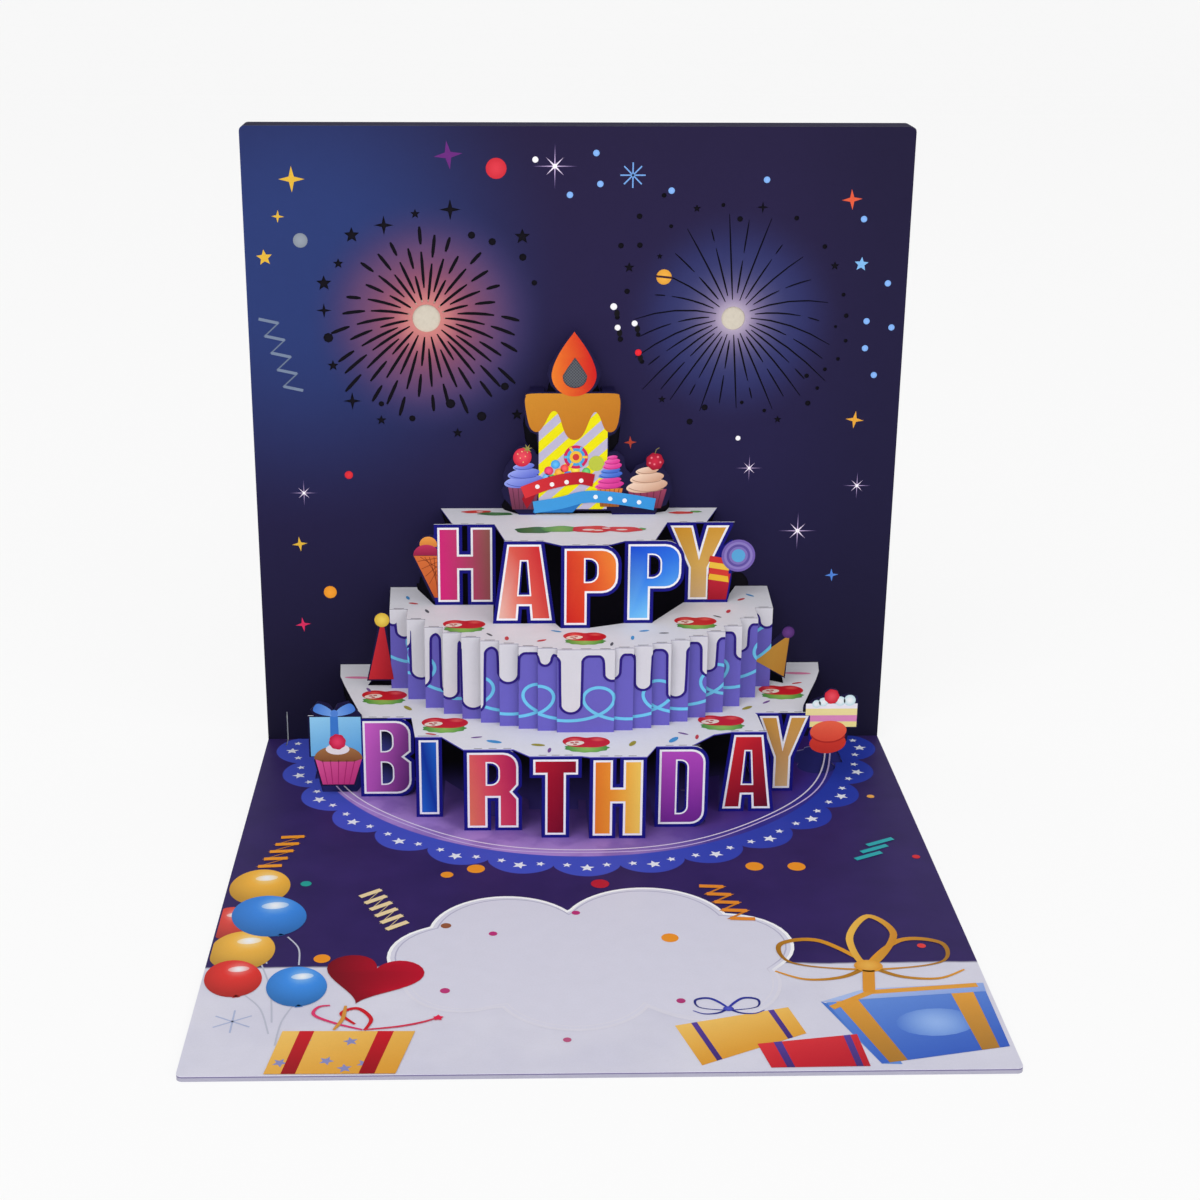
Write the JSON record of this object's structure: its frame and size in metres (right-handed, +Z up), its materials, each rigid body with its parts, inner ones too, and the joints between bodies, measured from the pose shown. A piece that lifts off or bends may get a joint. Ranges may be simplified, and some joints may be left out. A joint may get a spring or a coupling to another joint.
{
  "type": "musical pop up birthday card",
  "caption": "Opened pop up birthday card: a tiered paper cake with a candle stands up from the fold, with sound and lights in the back panel.",
  "frame": {"origin": "middle of the opened card's footprint, on the surface it stands on", "axes": "+X to the right along the fold, -Y to the reader along the base, +Z up along the back panel"},
  "size_m": [0.155, 0.16, 0.1531],
  "materials": {
    "printed_card": "satin",
    "dark_card": "matte",
    "cover_card": "satin",
    "foam": "matte",
    "mesh_film": "matte",
    "frosted_film": "matte",
    "clear_strip": "gloss",
    "spring_brass": "satin",
    "board": "satin",
    "black_resin": "gloss",
    "steel": "satin",
    "black_plastic": "satin",
    "speaker_film": "satin",
    "magnet": "satin",
    "lamp": "gloss",
    "cable": "satin"
  },
  "bodies": {
    "root": {"popup_sheet": "printed_card", "backing_sheet": "dark_card", "outer_cover": "cover_card", "foam_frame": "foam", "flame_window": "mesh_film", "left_burst_window": "frosted_film", "right_burst_window": "frosted_film", "switch_strip": "clear_strip", "switch_leaf": "spring_brass", "circuit_board": "board", "chip_cap": "black_resin", "microphone": "steel", "battery_holder": "black_plastic", "button_cell_1": "steel", "button_cell_2": "steel", "button_cell_3": "steel", "speaker_frame": "steel", "speaker_cone": "speaker_film", "speaker_magnet": "magnet", "left_burst_lamp_board": "board", "left_burst_lamp": "lamp", "right_burst_lamp_board": "board", "right_burst_lamp": "lamp", "flame_lamp_board": "board", "flame_lamp": "lamp", "left_lamp_cable": "cable", "flame_lamp_cable": "cable", "right_lamp_cable": "cable", "speaker_cable": "cable", "battery_cable": "cable"}
  },
  "joints": []
}
